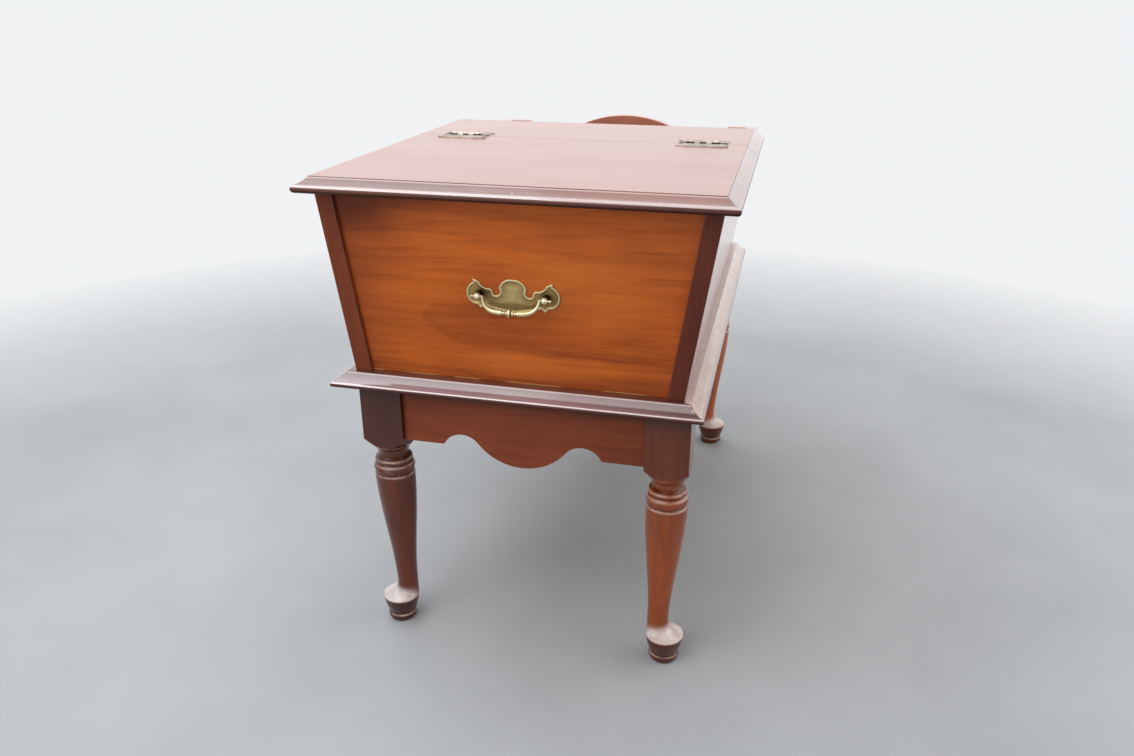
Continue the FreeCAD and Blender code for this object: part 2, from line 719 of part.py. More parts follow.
def pull_nuts():
    y = PANEL_FACE_Y + PANEL_THICK
    radius = NUT_FLATS / math.sqrt(3)
    nuts = []
    for side in SIDES.values():
        corners = []
        for step in range(6):
            angle = math.radians(60 * step)
            corners.append((side * POST_X + radius * math.cos(angle),
                            PULL_Z + radius * math.sin(angle)))
        nut = prism_along_y(corners[0], corners[1:], y, y + NUT_THICK)
        nuts.append(nut.cut(stud(side)))
    return nuts


def bore_all(parts, names, tools):
    """Cut the holes that the tools make in each named part."""
    for name in names:
        parts[name] = parts[name].cut(tools)


def build():
    parts = {}
    for end_name, end in (("front", -1), ("rear", 1)):
        for side_name, side in SIDES.items():
            parts[f"leg_{end_name}_{side_name}"] = leg(side, end)
    base = list(parts)
    parts.update(aprons())
    base += ["apron_front", "apron_rear", "apron_left", "apron_right"]
    pins = dowels()
    bore_all(parts, base, pins)
    parts["apron_dowels"] = Part.makeCompound(pins)

    plain, finished = deck_screws()
    parts["deck_board"] = deck_board()
    bore_all(parts, ["deck_board"], plain)
    parts["corner_blocks"] = Part.makeCompound([block.cut(plain) for block in corner_blocks()])
    parts["deck_screws"] = Part.makeCompound(finished)
    parts.update(waist_mouldings())

    for name, side in SIDES.items():
        parts["side_board_" + name] = side_board(side)
    parts["front_panel"] = front_panel().cut([stud(side) for side in SIDES.values()])
    parts["partition"] = between_sides(*PARTITION_Y, BOX_Z, STRIP_Z)
    parts["back_board"] = back_board()

    bottom, top, (down_plain, down_screws), (up_plain, up_screws) = cleats()
    parts["bottom_cleats"] = Part.makeCompound([strip.cut(down_plain) for strip in bottom])
    parts["top_cleats"] = Part.makeCompound([strip.cut(up_plain) for strip in top])
    parts["cleat_screws"] = Part.makeCompound(down_screws + up_screws)
    bore_all(parts, ["deck_board"], down_plain)
    parts.update(top_strip())
    bore_all(parts, ["top_strip"], up_plain)
    parts.update(lid())

    for name, x in HINGE_X.items():
        parts.update(hinge(name, x))
    for body, board, toward in (("lid", "lid_board", -1), ("top", "top_strip", 1)):
        plain, finished = hinge_screws(toward)
        bore_all(parts, [board, f"hinge_left_{body}_leaf", f"hinge_right_{body}_leaf"], plain)
        parts[body + "_hinge_screws"] = Part.makeCompound(finished)

    parts["pull_plate"] = pull_plate()
    for name, side in SIDES.items():
        parts["pull_post_" + name] = pull_post(side)
    parts["pull_bail"] = pull_bail()
    parts["pull_nuts"] = Part.makeCompound(pull_nuts())
    return parts


def main():
    os.makedirs("parts", exist_ok=True)
    for name, shape in build().items():
        shape.exportStep(f"parts/{name}.step")
        print(f"{name:24s} solids {len(shape.Solids):2d} valid {shape.isValid()} "
              f"volume {shape.Volume / 1000:9.2f} cm3")


main()
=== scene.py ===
"""Looks of the lift top end table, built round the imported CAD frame. Metres, Z up, front at -Y."""

import bmesh
import bpy
import json
import math
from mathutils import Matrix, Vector
from mathutils.geometry import delaunay_2d_cdt

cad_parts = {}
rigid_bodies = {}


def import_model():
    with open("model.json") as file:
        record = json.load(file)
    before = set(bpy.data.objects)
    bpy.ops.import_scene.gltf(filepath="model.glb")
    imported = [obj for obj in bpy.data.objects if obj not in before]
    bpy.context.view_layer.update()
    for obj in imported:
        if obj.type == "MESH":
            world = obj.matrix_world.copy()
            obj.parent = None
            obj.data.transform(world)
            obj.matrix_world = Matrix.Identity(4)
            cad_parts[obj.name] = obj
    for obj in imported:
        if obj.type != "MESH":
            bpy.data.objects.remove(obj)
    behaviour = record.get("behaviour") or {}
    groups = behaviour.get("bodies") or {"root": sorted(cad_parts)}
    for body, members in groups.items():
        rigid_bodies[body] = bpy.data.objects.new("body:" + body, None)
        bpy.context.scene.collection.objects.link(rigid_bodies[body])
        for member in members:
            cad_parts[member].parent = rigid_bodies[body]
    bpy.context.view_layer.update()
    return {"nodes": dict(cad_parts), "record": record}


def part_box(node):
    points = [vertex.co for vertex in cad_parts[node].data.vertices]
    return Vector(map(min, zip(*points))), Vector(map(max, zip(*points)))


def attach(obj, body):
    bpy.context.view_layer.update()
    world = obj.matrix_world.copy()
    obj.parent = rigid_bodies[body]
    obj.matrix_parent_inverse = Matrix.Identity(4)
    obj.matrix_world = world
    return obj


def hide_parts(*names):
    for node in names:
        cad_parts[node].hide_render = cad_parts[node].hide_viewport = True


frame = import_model()

X, Y, Z = 0, 1, 2
LOW, HIGH = 0, 1

# The camera, in the photograph's frame
PHOTO_WIDTH_PX = 1134
FOCAL_PX = 906.19
SENSOR_MM = 36.0
CAMERA_PLACE = (0.2818, -1.2362, 0.7893)
CAMERA_TURN = 0.2399
CAMERA_DOWN = 0.4036

# What the frame says about bodies, slots and places
BODY_OF = {node: body for body, nodes in frame["record"]["behaviour"]["bodies"].items()
           for node in nodes}
SLOT_OF = {part["node"]: part["material_slot"] for part in frame["record"]["subparts"]}
LID_AXIS = frame["record"]["behaviour"]["joints"][0]["pos_m"]
PANEL_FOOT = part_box("front_panel")[LOW][Z]
WAIST_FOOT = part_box("waist_moulding_front")[LOW][Z]
MOULDING_TOPS = [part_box(node)[HIGH][Z] for node in ("lid_moulding_front", "waist_moulding_front")]
RACK_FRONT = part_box("partition")[HIGH][Y]
PLATE_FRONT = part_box("pull_plate")[LOW][Y]
POST_X = abs(sum(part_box("pull_post_left")[end][X] for end in (LOW, HIGH))) / 2


# Node helpers


class Nodes:
    """Short way to add nodes to one material or world and link them."""

    def __init__(self, owner):
        owner.use_nodes = True
        self.tree = owner.node_tree
        self.tree.nodes.clear()

    def put(self, node, key, value):
        if isinstance(value, bpy.types.NodeSocket):
            self.tree.links.new(value, node.inputs[key])
        else:
            node.inputs[key].default_value = value

    def add(self, kind, inputs=None, **settings):
        node = self.tree.nodes.new(kind)
        for key, value in settings.items():
            setattr(node, key, value)
        for key, value in (inputs or {}).items():
            self.put(node, key, value)
        return node

    def math(self, operation, a, b=0.0, clamp=False):
        node = self.add("ShaderNodeMath", {0: a, 1: b}, operation=operation, use_clamp=clamp)
        return node.outputs[0]

    def times(self, a, b):
        return self.math("MULTIPLY", a, b)

    def away(self, value, place):
        """Distance of a value from a place."""
        return self.math("ABSOLUTE", self.math("SUBTRACT", value, place))

    def mix(self, factor, a, b):
        node = self.add("ShaderNodeMix", data_type="RGBA")
        for key, value in ((0, factor), (6, a), (7, b)):
            self.put(node, key, value)
        return node.outputs[2]

    def tint(self, colour, mask, share, tone):
        """Colour moved toward a tone, by the share, where the mask is 1."""
        return self.mix(self.times(mask, share), colour, tone)

    def span(self, value, low, high, out_low=0.0, out_high=1.0):
        node = self.add(
            "ShaderNodeMapRange",
            {"Value": value, "From Min": low, "From Max": high, "To Min": out_low, "To Max": out_high})
        return node.outputs[0]

    def noise(self, vector, scale, detail=2.0, roughness=0.5, distortion=0.0):
        node = self.add(
            "ShaderNodeTexNoise",
            {"Vector": vector, "Scale": scale, "Detail": detail, "Roughness": roughness,
             "Distortion": distortion})
        return node.outputs["Fac"]

    def place(self, scale=(1, 1, 1), location=(0, 0, 0), rotation=(0, 0, 0)):
        coordinates = self.add("ShaderNodeTexCoord").outputs["Object"]
        node = self.add(
            "ShaderNodeMapping",
            {"Vector": coordinates, "Scale": scale, "Location": location, "Rotation": rotation})
        return node.outputs[0]

    def along(self, axis):
        """The surface point's own coordinate along one axis of the frame."""
        return self.add("ShaderNodeSeparateXYZ", {0: self.place()}).outputs[axis]

    def bump(self, height, distance, strength):
        inputs = {"Height": height, "Distance": distance, "Strength": strength}
        return self.add("ShaderNodeBump", inputs).outputs[0]

    def surface(self, shader):
        self.add("ShaderNodeOutputMaterial", {"Surface": shader})


def rgba(r, g, b):
    """Linear colour from 0-255 screen values."""
    def linear(c):
        c /= 255
        return c / 12.92 if c <= 0.04045 else ((c + 0.055) / 1.055) ** 2.4
    return (linear(r), linear(g), linear(b), 1.0)


def axis_scale(axis, along, across):
    return tuple(along if i == axis else across for i in range(3))


def spot(n, centre, reach, ragged, scale):
    """Mask that is 1 in the middle of an ellipsoid and fades to its ragged edge."""
    away = n.add("ShaderNodeVectorMath", {0: n.place(), 1: centre}, operation="SUBTRACT").outputs[0]
    share = n.add("ShaderNodeVectorMath", {0: away, 1: reach}, operation="DIVIDE").outputs[0]
    distance = n.add("ShaderNodeVectorMath", {0: share}, operation="LENGTH").outputs["Value"]
    edge = n.math("SUBTRACT", n.noise(n.place(), scale, 3.0, 0.6), 0.5)
    distance = n.math("ADD", distance, n.times(edge, ragged))
    return n.span(distance, 1.0, 0.3)


# Wood and metal

# Noises of the grain: scale along and across it, detail, roughness, distortion
GRAIN = {
    "wander": (2.2, 9.0, 3.0, 0.5, 0.0),
    "figure": (3.0, 34.0, 5.0, 0.6, 0.4),
    "fibre": (16.0, 900.0, 3.0, 0.6, 0.0),
    "streak": (9.0, 240.0, 4.0, 0.6, 0.0),
    "flecks": (60.0, 1300.0, 2.0, 0.5, 0.0),
    "cloud": (5.0, 8.0, 3.0, 0.55, 0.0)}
FIGURE_RANGE = (0.3, 0.72)
FIGURE_SHARE = 0.46
CLOUD_RANGE = (0.32, 0.7)
CLOUD_SHARE = 0.38
PORE_RANGE = (0.68, 0.75)
PORE_SHARE = 0.45
PORE_TONE = 0.45
LATE_WOOD = 0.72
RING_PUSH = {"X": 0.030, "Y": 0.024, "Z": 0.036}
# About how many rings a metre the wave texture draws at a scale of 1
RINGS_PER_SCALE = 3.1416
FIBRE_HEIGHT = 0.0001
PEEL_HEIGHT = 0.0002
PEEL_SCALE = 260.0
WOOD_ROUGHNESS = (0.30, 0.40)


def grain(n, layer, axis, shift):
    """One of the noises of the grain, drawn out along an axis."""
    along, across, detail, roughness, distortion = GRAIN[layer]
    return n.noise(n.place(axis_scale(axis, along, across), shift), 1.0, detail, roughness, distortion)


def ring_lines(n, axis, rings, heart, tilt, shift):
    """Late wood of year rings, which wander a little along the grain."""
    wander = grain(n, "wander", axis, shift)
    turn = [0.0, 0.0, 0.0]
    turn[(axis + 1) % 3] = tilt
    turn[(axis + 2) % 3] = tilt * 0.6
    straight = n.place((1, 1, 1), heart, turn)
    pushes = {side: n.times(wander, reach) for side, reach in RING_PUSH.items()}
    push = n.add("ShaderNodeCombineXYZ", pushes).outputs[0]
    warped = n.add("ShaderNodeVectorMath", {0: straight, 1: push}, operation="ADD").outputs[0]
    wave = n.add(
        "ShaderNodeTexWave",
        {"Vector": warped, "Scale": rings / RINGS_PER_SCALE, "Distortion": 1.2, "Detail": 3.0,
         "Detail Scale": 1.6, "Detail Roughness": 0.6},
        wave_type="RINGS", rings_direction="XYZ"[axis], wave_profile="SAW").outputs["Fac"]
    return n.span(wave, LATE_WOOD, 1.0)


def grain_tone(n, layers, late, line_shares):
    """From 0, pale, to 1, deep: figure, late wood, cloud and fine lines added up."""
    tone = n.times(n.span(layers["figure"], *FIGURE_RANGE), FIGURE_SHARE)
    tone = n.math("ADD", tone, late)
    tone = n.math("ADD", tone, n.times(n.span(layers["cloud"], *CLOUD_RANGE), CLOUD_SHARE))
    for layer, share in line_shares:
        tone = n.math("ADD", tone, n.times(n.math("SUBTRACT", layers[layer], 0.5), share))
    return tone


def wood(name, axis, pale, deep, seed, rings=70.0, heart=(0.0, 0.0, 0.0), tilt=0.03,
         coat=0.3, shine=0.3, coat_ior=1.5, coat_rough=0.08, ring_share=0.24, fibre_share=0.4,
         streak_share=0.5, marks=None):
    """Stained, lacquered wood with its grain along one axis."""
    material = bpy.data.materials.new(name)
    n = Nodes(material)
    shift = (seed * 1.7, seed * 2.3, seed * 3.1)
    late = n.times(ring_lines(n, axis, rings, heart, tilt, shift), ring_share)
    layers = {layer: grain(n, layer, axis, shift)
              for layer in ("figure", "fibre", "streak", "flecks", "cloud")}
    tone = grain_tone(n, layers, late, (("streak", streak_share), ("fibre", fibre_share)))
    pores = n.span(layers["flecks"], *PORE_RANGE)
    dark = tuple(PORE_TONE * c for c in deep[:3]) + (1.0,)
    colour = n.tint(n.mix(tone, pale, deep), pores, PORE_SHARE, dark)
    if marks:
        colour = marks(n, colour)

    height = n.math("ADD", n.times(layers["fibre"], 0.5), n.times(pores, -0.6))
    skin = n.bump(height, FIBRE_HEIGHT, 0.3)
    peel = n.noise(n.place((1, 1, 1), shift), PEEL_SCALE, 2.0, 0.5)
    lacquer = n.bump(peel, PEEL_HEIGHT, 0.1)
    roughness = n.span(n.math("ADD", layers["fibre"], layers["cloud"]), 0.7, 1.3, *WOOD_ROUGHNESS)
    shader = n.add(
        "ShaderNodeBsdfPrincipled",
        {"Base Color": colour, "Roughness": roughness, "Specular IOR Level": shine,
         "Coat Weight": coat, "Coat Roughness": coat_rough, "Coat IOR": coat_ior, "Normal": skin,
         "Coat Normal": lacquer})
    n.surface(shader.outputs[0])
    return material


def metal(name, bright, dull, seed, rough=(0.34, 0.44), marks=None):
    """Aged metal: brighter where handled, duller and rougher in faint cloudy patches."""
    material = bpy.data.materials.new(name)
    n = Nodes(material)
    shift = (seed, seed * 1.9, seed * 2.7)
    cloud = n.noise(n.place((1, 1, 1), shift), 60.0, 3.0, 0.5)
    speck = n.noise(n.place((1, 1, 1), shift), 900.0, 2.0, 0.5)
    specks = n.times(n.span(speck, 0.55, 0.75), 0.15)
    age = n.math("ADD", n.span(cloud, 0.35, 0.7), specks, clamp=True)
    colour = n.mix(age, bright, dull)
    if marks:
        colour = marks(n, colour)
    shader = n.add(
        "ShaderNodeBsdfPrincipled",
        {"Base Color": colour, "Metallic": 1.0, "Roughness": n.span(age, 0.0, 1.0, *rough),
         "Normal": n.bump(speck, 0.00005, 0.3)})
    n.surface(shader.outputs[0])
    return material


# Shapes

WELD = 1e-6
SOFT_EDGE = math.radians(50)
ARRIS = 0.0007
ARRIS_SEGMENTS = 3
SHORTEST_ARRIS = 0.0015
ARRIS_ANGLE = math.radians(30)
FLAT_ANGLE = math.radians(0.5)


def smooth_between_edges(shape):
    for face in shape.faces:
        face.smooth = True
    for edge in shape.edges:
        edge.smooth = edge.calc_face_angle(0) < SOFT_EDGE


def stand_in(name, mesh, node):
    """Piece that stands for a CAD node and rides where it rides."""
    piece = bpy.data.objects.new(name, mesh)
    bpy.context.collection.objects.link(piece)
    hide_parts(node)
    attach(piece, BODY_OF[node])
    return piece


def eased(node):
    """Copy of a CAD node with its arrises rounded a little, which stands for the node."""
    mesh = frame["nodes"][node].data.copy()
    mesh.name = node + "_eased"
    shape = bmesh.new()
    shape.from_mesh(mesh)
    bmesh.ops.remove_doubles(shape, verts=shape.verts, dist=WELD)
    bmesh.ops.dissolve_limit(shape, angle_limit=FLAT_ANGLE, verts=shape.verts, edges=shape.edges)
    arrises = [e for e in shape.edges
               if len(e.link_faces) == 2 and e.calc_face_angle(0) > ARRIS_ANGLE
               and e.calc_length() > SHORTEST_ARRIS]
    bmesh.ops.bevel(shape, geom=arrises, offset=ARRIS, offset_type="OFFSET",
                    segments=ARRIS_SEGMENTS, profile=0.5, affect="EDGES", clamp_overlap=False)
    bmesh.ops.remove_doubles(shape, verts=shape.verts, dist=WELD)
    bmesh.ops.dissolve_degenerate(shape, edges=shape.edges, dist=WELD)
    smooth_between_edges(shape)
    shape.to_mesh(mesh)
    shape.free()
    mesh.materials.clear()
    piece = stand_in(node + "_eased", mesh, node)
    weighted = piece.modifiers.new("weighted", "WEIGHTED_NORMAL")
    weighted.keep_sharp = True
    return piece


# The pull's back plate: distance from its outline, and depth behind its rim
PLATE_SECTION = (
    (0.0, 0.00045), (0.0004, 0.00016), (0.0008, 0.00005), (0.0013, 0.00002), (0.0018, 0.00010),
    (0.0028, 0.00060), (0.0038, 0.00080), (0.0065, 0.00072), (0.0110, 0.00036), (0.0160, 0.00020),
    (1.0, 0.00020))
PLATE_GRID = 0.0007
# Least distance of a grid point from the outlines, in steps of the grid
PLATE_GRID_MARGIN = 0.6
FRONT_TOLERANCE = 1e-5
FAR_OFF = 1.0
TINY_SQUARE = 1e-12
TRIANGLES_TO_HULL = 0
SAME_POINT = 1e-7


def front_loops(shape, front_y):
    """Closed outlines, as lists of (x, z), of the flat front of the pull's back plate."""
    front = [f for f in shape.faces if all(v.co.y < front_y + FRONT_TOLERANCE for v in f.verts)]
    among_front = set(front)
    ahead = {}
    # The list is walked and not the set, whose order changes from run to run
    for face in front:
        for loop in face.loops:
            if sum(f in among_front for f in loop.edge.link_faces) == 1:
                ahead[loop.vert] = loop.link_loop_next.vert
    loops = []
    while ahead:
        here, after = ahead.popitem()
        chain = [here]
        while after is not chain[0]:
            chain.append(after)
            after = ahead.pop(after)
        loops.append([(v.co.x, v.co.z) for v in chain])
    return sorted(loops, key=len, reverse=True)


def inside(point, loops):
    x, z = point
    crossings = 0
    for loop in loops:
        for (x0, z0), (x1, z1) in zip(loop, loop[1:] + loop[:1]):
            if (z0 > z) != (z1 > z) and x < x0 + (z - z0) / (z1 - z0) * (x1 - x0):
                crossings += 1
    return crossings % 2 == 1


def to_outline(point, loop):
    """Distance from a point to a closed outline."""
    nearest = FAR_OFF
    here = Vector(point)
    for a, b in zip(loop, loop[1:] + loop[:1]):
        a, b = Vector(a), Vector(b)
        along = (here - a).dot(b - a) / max((b - a).length_squared, TINY_SQUARE)
        nearest = min(nearest, (here - a - min(max(along, 0.0), 1.0) * (b - a)).length)
    return nearest


def plate_depth(distance):
    """How far the dished plate lies behind its rim at a distance from its outline."""
    for (d0, y0), (d1, y1) in zip(PLATE_SECTION, PLATE_SECTION[1:]):
        if distance <= d1:
            return y0 + (y1 - y0) * (distance - d0) / (d1 - d0)
    return PLATE_SECTION[-1][1]


def plate_points(loops):
    """Points of the outlines, their borders as pairs of indexes, and a grid of points inside."""
    points = []
    borders = []
    for loop in loops:
        first = len(points)
        points += loop
        count = len(loop)
        borders += [(first + i, first + (i + 1) % count) for i in range(count)]
    x_low, x_high = min(p[0] for p in points), max(p[0] for p in points)
    z_low, z_high = min(p[1] for p in points), max(p[1] for p in points)
    margin = PLATE_GRID_MARGIN * PLATE_GRID
    for i in range(int((x_high - x_low) / PLATE_GRID)):
        for j in range(int((z_high - z_low) / PLATE_GRID)):
            place = (x_low + (i + 0.5 * (j % 2)) * PLATE_GRID, z_low + j * PLATE_GRID)
            if inside(place, loops) and min(to_outline(place, loop) for loop in loops) > margin:
                points.append(place)
    return points, borders


def plate_mesh(flat, kept, outline, front_y, back_y):
    """Closed mesh of the plate: dished front, flat back and the walls between them."""
    count = len(flat)
    front = [(p.x, front_y + plate_depth(to_outline(p, outline)), p.y) for p in flat]
    back = [(p.x, back_y, p.y) for p in flat]
    used = {}
    for face in kept:
        for a, b in zip(face, face[1:] + face[:1]):
            used[(a, b)] = True
    rims = [(a, b) for a, b in used if (b, a) not in used]
    walls = [(b, a, a + count, b + count) for a, b in rims]
    turned = [tuple(i + count for i in reversed(f)) for f in kept]
    mesh = bpy.data.meshes.new("pull_plate_dished")
    mesh.from_pydata(front + back, [], [tuple(f) for f in kept] + turned + walls)
    mesh.update()
    return mesh


def dished_plate():
    """Back plate of the pull with a rolled rim and a field that swells toward its middle."""
    shape = bmesh.new()
    shape.from_mesh(frame["nodes"]["pull_plate"].data)
    bmesh.ops.remove_doubles(shape, verts=shape.verts, dist=WELD)
    front_y = min(v.co.y for v in shape.verts)
    back_y = max(v.co.y for v in shape.verts)
    loops = front_loops(shape, front_y)
    shape.free()

    points, borders = plate_points(loops)
    corners = [Vector(p) for p in points]
    net = delaunay_2d_cdt(corners, borders, [], TRIANGLES_TO_HULL, SAME_POINT)
    flat = net[0]
    faces = net[2]
    kept = [f for f in faces if inside(tuple(sum((flat[i] for i in f), Vector((0, 0))) / 3), loops)]
    mesh = plate_mesh(flat, kept, loops[0], front_y, back_y)
    shape = bmesh.new()
    shape.from_mesh(mesh)
    bmesh.ops.delete(shape, geom=[v for v in shape.verts if not v.link_faces], context="VERTS")
    bmesh.ops.recalc_face_normals(shape, faces=shape.faces)
    smooth_between_edges(shape)
    shape.to_mesh(mesh)
    shape.free()
    return stand_in("pull_plate_dished", mesh, "pull_plate")


def paint(piece, material):
    piece.data.materials.clear()
    piece.data.materials.append(material)


def paint_where(piece, material, chosen):
    """Give the faces that pass the test a material of their own."""
    piece.data.materials.append(material)
    for face in piece.data.polygons:
        if chosen(face):
            face.material_index = len(piece.data.materials) - 1


def paint_node(node, material):
    for holder in frame["nodes"][node].material_slots:
        holder.material = material


# Tones, pale and deep

PANEL = (rgba(216, 108, 34), rgba(114, 43, 18))
SIDE = (rgba(150, 74, 46), rgba(98, 46, 30))
EDGE = (rgba(140, 68, 38), rgba(86, 40, 26))
EDGE_SHADED = (rgba(114, 56, 40), rgba(74, 36, 27))
# Darker tones for the faces of the mouldings that look down: painted shade
UNDERSIDE_SHADE = (rgba(72, 38, 28), rgba(46, 26, 20))
APRON = (rgba(160, 76, 40), rgba(92, 38, 24))
MOULD = (rgba(112, 60, 46), rgba(66, 34, 28))
LID_MOULD = (rgba(138, 68, 50), rgba(80, 40, 30))
# Paler tones for the gleaming side of the waist moulding's nose: a painted highlight
WAIST_GLEAM_HIGHLIGHT = (rgba(172, 138, 138), rgba(124, 92, 92))
TOP = (rgba(158, 95, 75), rgba(138, 80, 63))
GALLERY = (rgba(204, 132, 104), rgba(150, 86, 64))
INSIDE = (rgba(150, 88, 54), rgba(98, 54, 36))
RAW = (rgba(206, 168, 122), rgba(160, 118, 78))
LEG_DARK = (rgba(116, 52, 32), rgba(62, 27, 20))
LEG_PALE = (rgba(202, 108, 52), rgba(124, 60, 34))
LEG_WARM = (rgba(170, 80, 28), rgba(88, 37, 18))

# Finishes

MOULDED = {"coat": 1.0, "shine": 0.2, "coat_ior": 1.85, "coat_rough": 0.09, "ring_share": 0.1}
TABLETOP = {"coat": 1.0, "shine": 0.3, "coat_rough": 0.30, "ring_share": 0.06}
GLEAM = {"coat": 1.0, "shine": 0.2, "coat_ior": 2.6, "coat_rough": 0.09, "ring_share": 0.05}
NOSE = {"coat": 0.5, "shine": 0.1, "ring_share": 0.1}
TURNED = {"coat": 0.7, "shine": 0.1, "ring_share": 0.12, "streak_share": 0.7}
SATIN = {"coat": 0.4, "shine": 0.1, "ring_share": 0.08}
POLISHED = {"coat": 1.0, "shine": 0.5, "coat_rough": 0.14, "ring_share": 0.04}
MATT = {"coat": 0.1, "shine": 0.1, "ring_share": 0.05}
BARE = {"coat": 0.0, "shine": 0.3}


# Marks of the front panel. A spot is its centre, reach, raggedness, edge noise and share.

PANEL_DEEP = rgba(86, 30, 16)
PANEL_SUNNED = rgba(232, 124, 48)
GLUE = rgba(214, 156, 96)
DEEP_SPOTS = (
    ((-0.195, -0.333, 0.590), (0.135, 0.1, 0.066), 0.7, 16.0, 0.75),
    ((0.213, -0.333, 0.47), (0.040, 0.1, 0.13), 0.8, 14.0, 0.35),
    ((0.15, -0.333, 0.386), (0.10, 0.1, 0.022), 0.8, 14.0, 0.45),
    ((-0.075, -0.333, 0.450), (0.085, 0.1, 0.042), 1.0, 14.0, 0.15))
SUNNED_SPOTS = (
    ((0.085, -0.333, 0.500), (0.120, 0.1, 0.065), 1.0, 12.0, 0.30),
    ((0.02, -0.333, 0.402), (0.100, 0.1, 0.022), 0.8, 14.0, 0.25))
DEEP_LEFT = (-0.06, -0.155)
DEEP_LEFT_SHARE = 0.5
WISP_REACH = 0.09
GLUE_HEIGHTS = (PANEL_FOOT + 0.0018, PANEL_FOOT + 0.0010)
GLUE_END = (0.155, 0.145)
GLUE_SHARE = 0.8


def glue_line(n, colour):
    """Broken pale line of glue along the panel's foot."""
    joint = n.times(n.span(n.along(Z), *GLUE_HEIGHTS), n.span(n.along(X), *GLUE_END))
    broken = n.span(n.noise(n.place((1, 1, 0.2), (2, 1, 3)), 26.0, 3.0, 0.6), 0.46, 0.54)
    return n.tint(colour, n.times(joint, broken), GLUE_SHARE, GLUE)


def panel_marks(n, colour):
    """Uneven stain over the panel: deep at the left and in spots, sunned in others."""
    wisp = n.times(n.noise(n.place((5, 1, 16), (3, 1, 2)), 1.0, 4.0, 0.6), WISP_REACH)
    left = n.span(n.math("ADD", n.along(X), wisp), *DEEP_LEFT)
    colour = n.tint(colour, left, DEEP_LEFT_SHARE, PANEL_DEEP)
    for spots, tone in ((DEEP_SPOTS, PANEL_DEEP), (SUNNED_SPOTS, PANEL_SUNNED)):
        for *shape, share in spots:
            colour = n.tint(colour, spot(n, *shape), share, tone)
    return glue_line(n, colour)


# Marks of the mouldings

# Height of a moulding's nose, where its slope begins, above its foot
NOSE_HEIGHT = {"lid": 0.0092, "top": 0.0092, "waist": 0.0065}
WAIST_NOSE_TOP = WAIST_FOOT + NOSE_HEIGHT["waist"]
RIGHT_FILM = rgba(220, 184, 166)
LID_LEFT = rgba(78, 46, 42)
LID_RIGHT = rgba(222, 172, 150)
# Painted sheen on the foot of the waist moulding's slope, and painted shade at its right end
WAIST_PAINTED_SHEEN = rgba(178, 146, 152)
WAIST_RIGHT_SHADE = rgba(62, 34, 38)
# Painted shadow of the waist moulding's overhang on the aprons and leg blocks below it
WAIST_OVERHANG_SHADE = rgba(44, 24, 18)
WAIST_OVERHANG_SHADE_HEIGHTS = (WAIST_FOOT - 0.0320, WAIST_FOOT - 0.0200)
MOULD_WORN = rgba(176, 134, 112)
MOULD_CHIP = rgba(206, 172, 146)
# Painted highlight line along the top arris of the front mouldings
TOP_ARRIS_HIGHLIGHT = rgba(226, 200, 196)
ARRIS_BELOW_TOP = 0.0010
ARRIS_FADE = (0.0008, 0.0003)


def scuffed(n, colour):
    """Lacquer rubbed to a mottled pinkish film all along a moulding."""
    mottle = n.noise(n.place(axis_scale(Y, 1.0, 1.8)), 34.0, 5.0, 0.7)
    return n.mix(n.span(mottle, 0.32, 0.68, 0.60, 0.88), colour, RIGHT_FILM)


def chips(n, colour):
    """Rubbed places, a painted highlight along the upper arris, and small pale chips on a moulding."""
    rubbed = n.span(n.noise(n.place(axis_scale(X, 1.0, 1.6)), 26.0, 4.0, 0.7), 0.58, 0.76)
    colour = n.tint(colour, rubbed, 0.30, MOULD_WORN)
    # Painted highlight just below each moulding's top
    for top in MOULDING_TOPS:
        line = n.span(n.away(n.along(Z), top - ARRIS_BELOW_TOP), *ARRIS_FADE)
        colour = n.tint(colour, line, 0.45, TOP_ARRIS_HIGHLIGHT)
    chip = n.span(n.noise(n.place(), 95.0, 2.0, 0.6), 0.71, 0.74)
    return n.tint(colour, chip, 0.6, MOULD_CHIP)


def lid_tones(n, colour):
    """The lid's front moulding is darker toward its left end and paler toward its right end."""
    x = n.along(X)
    colour = n.tint(colour, n.span(x, 0.06, -0.14), 0.35, LID_LEFT)
    colour = n.tint(colour, n.span(x, 0.02, 0.20), 0.06, LID_RIGHT)
    return chips(n, colour)


def waist_tones(n, colour):
    """Painted sheen, as a pale film, along the foot of the waist moulding's slope, and painted shade
    toward its right end.
    """
    z = n.along(Z)
    upper = n.span(z, WAIST_NOSE_TOP + 0.0078, WAIST_NOSE_TOP + 0.0012)
    lower = n.span(z, WAIST_NOSE_TOP - 0.0008, WAIST_NOSE_TOP + 0.0002)
    sheen_patches = n.noise(n.place(axis_scale(X, 0.3, 1.0)), 40.0, 4.0, 0.6)
    x = n.along(X)
    pale_share = n.times(n.span(sheen_patches, 0.3, 0.7, 0.45, 0.75), n.span(x, 0.05, 0.20, 1.0, 0.5))
    # Painted sheen as a patchy pale film
    colour = n.tint(colour, n.times(upper, lower), pale_share, WAIST_PAINTED_SHEEN)
    colour = n.mix(n.span(x, 0.04, 0.22, 0.0, 0.45), colour, WAIST_RIGHT_SHADE)
    return chips(n, colour)


def shade_under_waist(n, colour):
    """Painted shadow of the waist moulding's overhang: a darker band just below it."""
    return n.tint(colour, n.span(n.along(Z), *WAIST_OVERHANG_SHADE_HEIGHTS), 0.6, WAIST_OVERHANG_SHADE)


# Marks of the deck and the legs

RACK_FLOOR = rgba(120, 60, 36)
RACK_FLOOR_START = (RACK_FRONT - 0.002, RACK_FRONT)
LEG_DEEP = rgba(56, 24, 16)
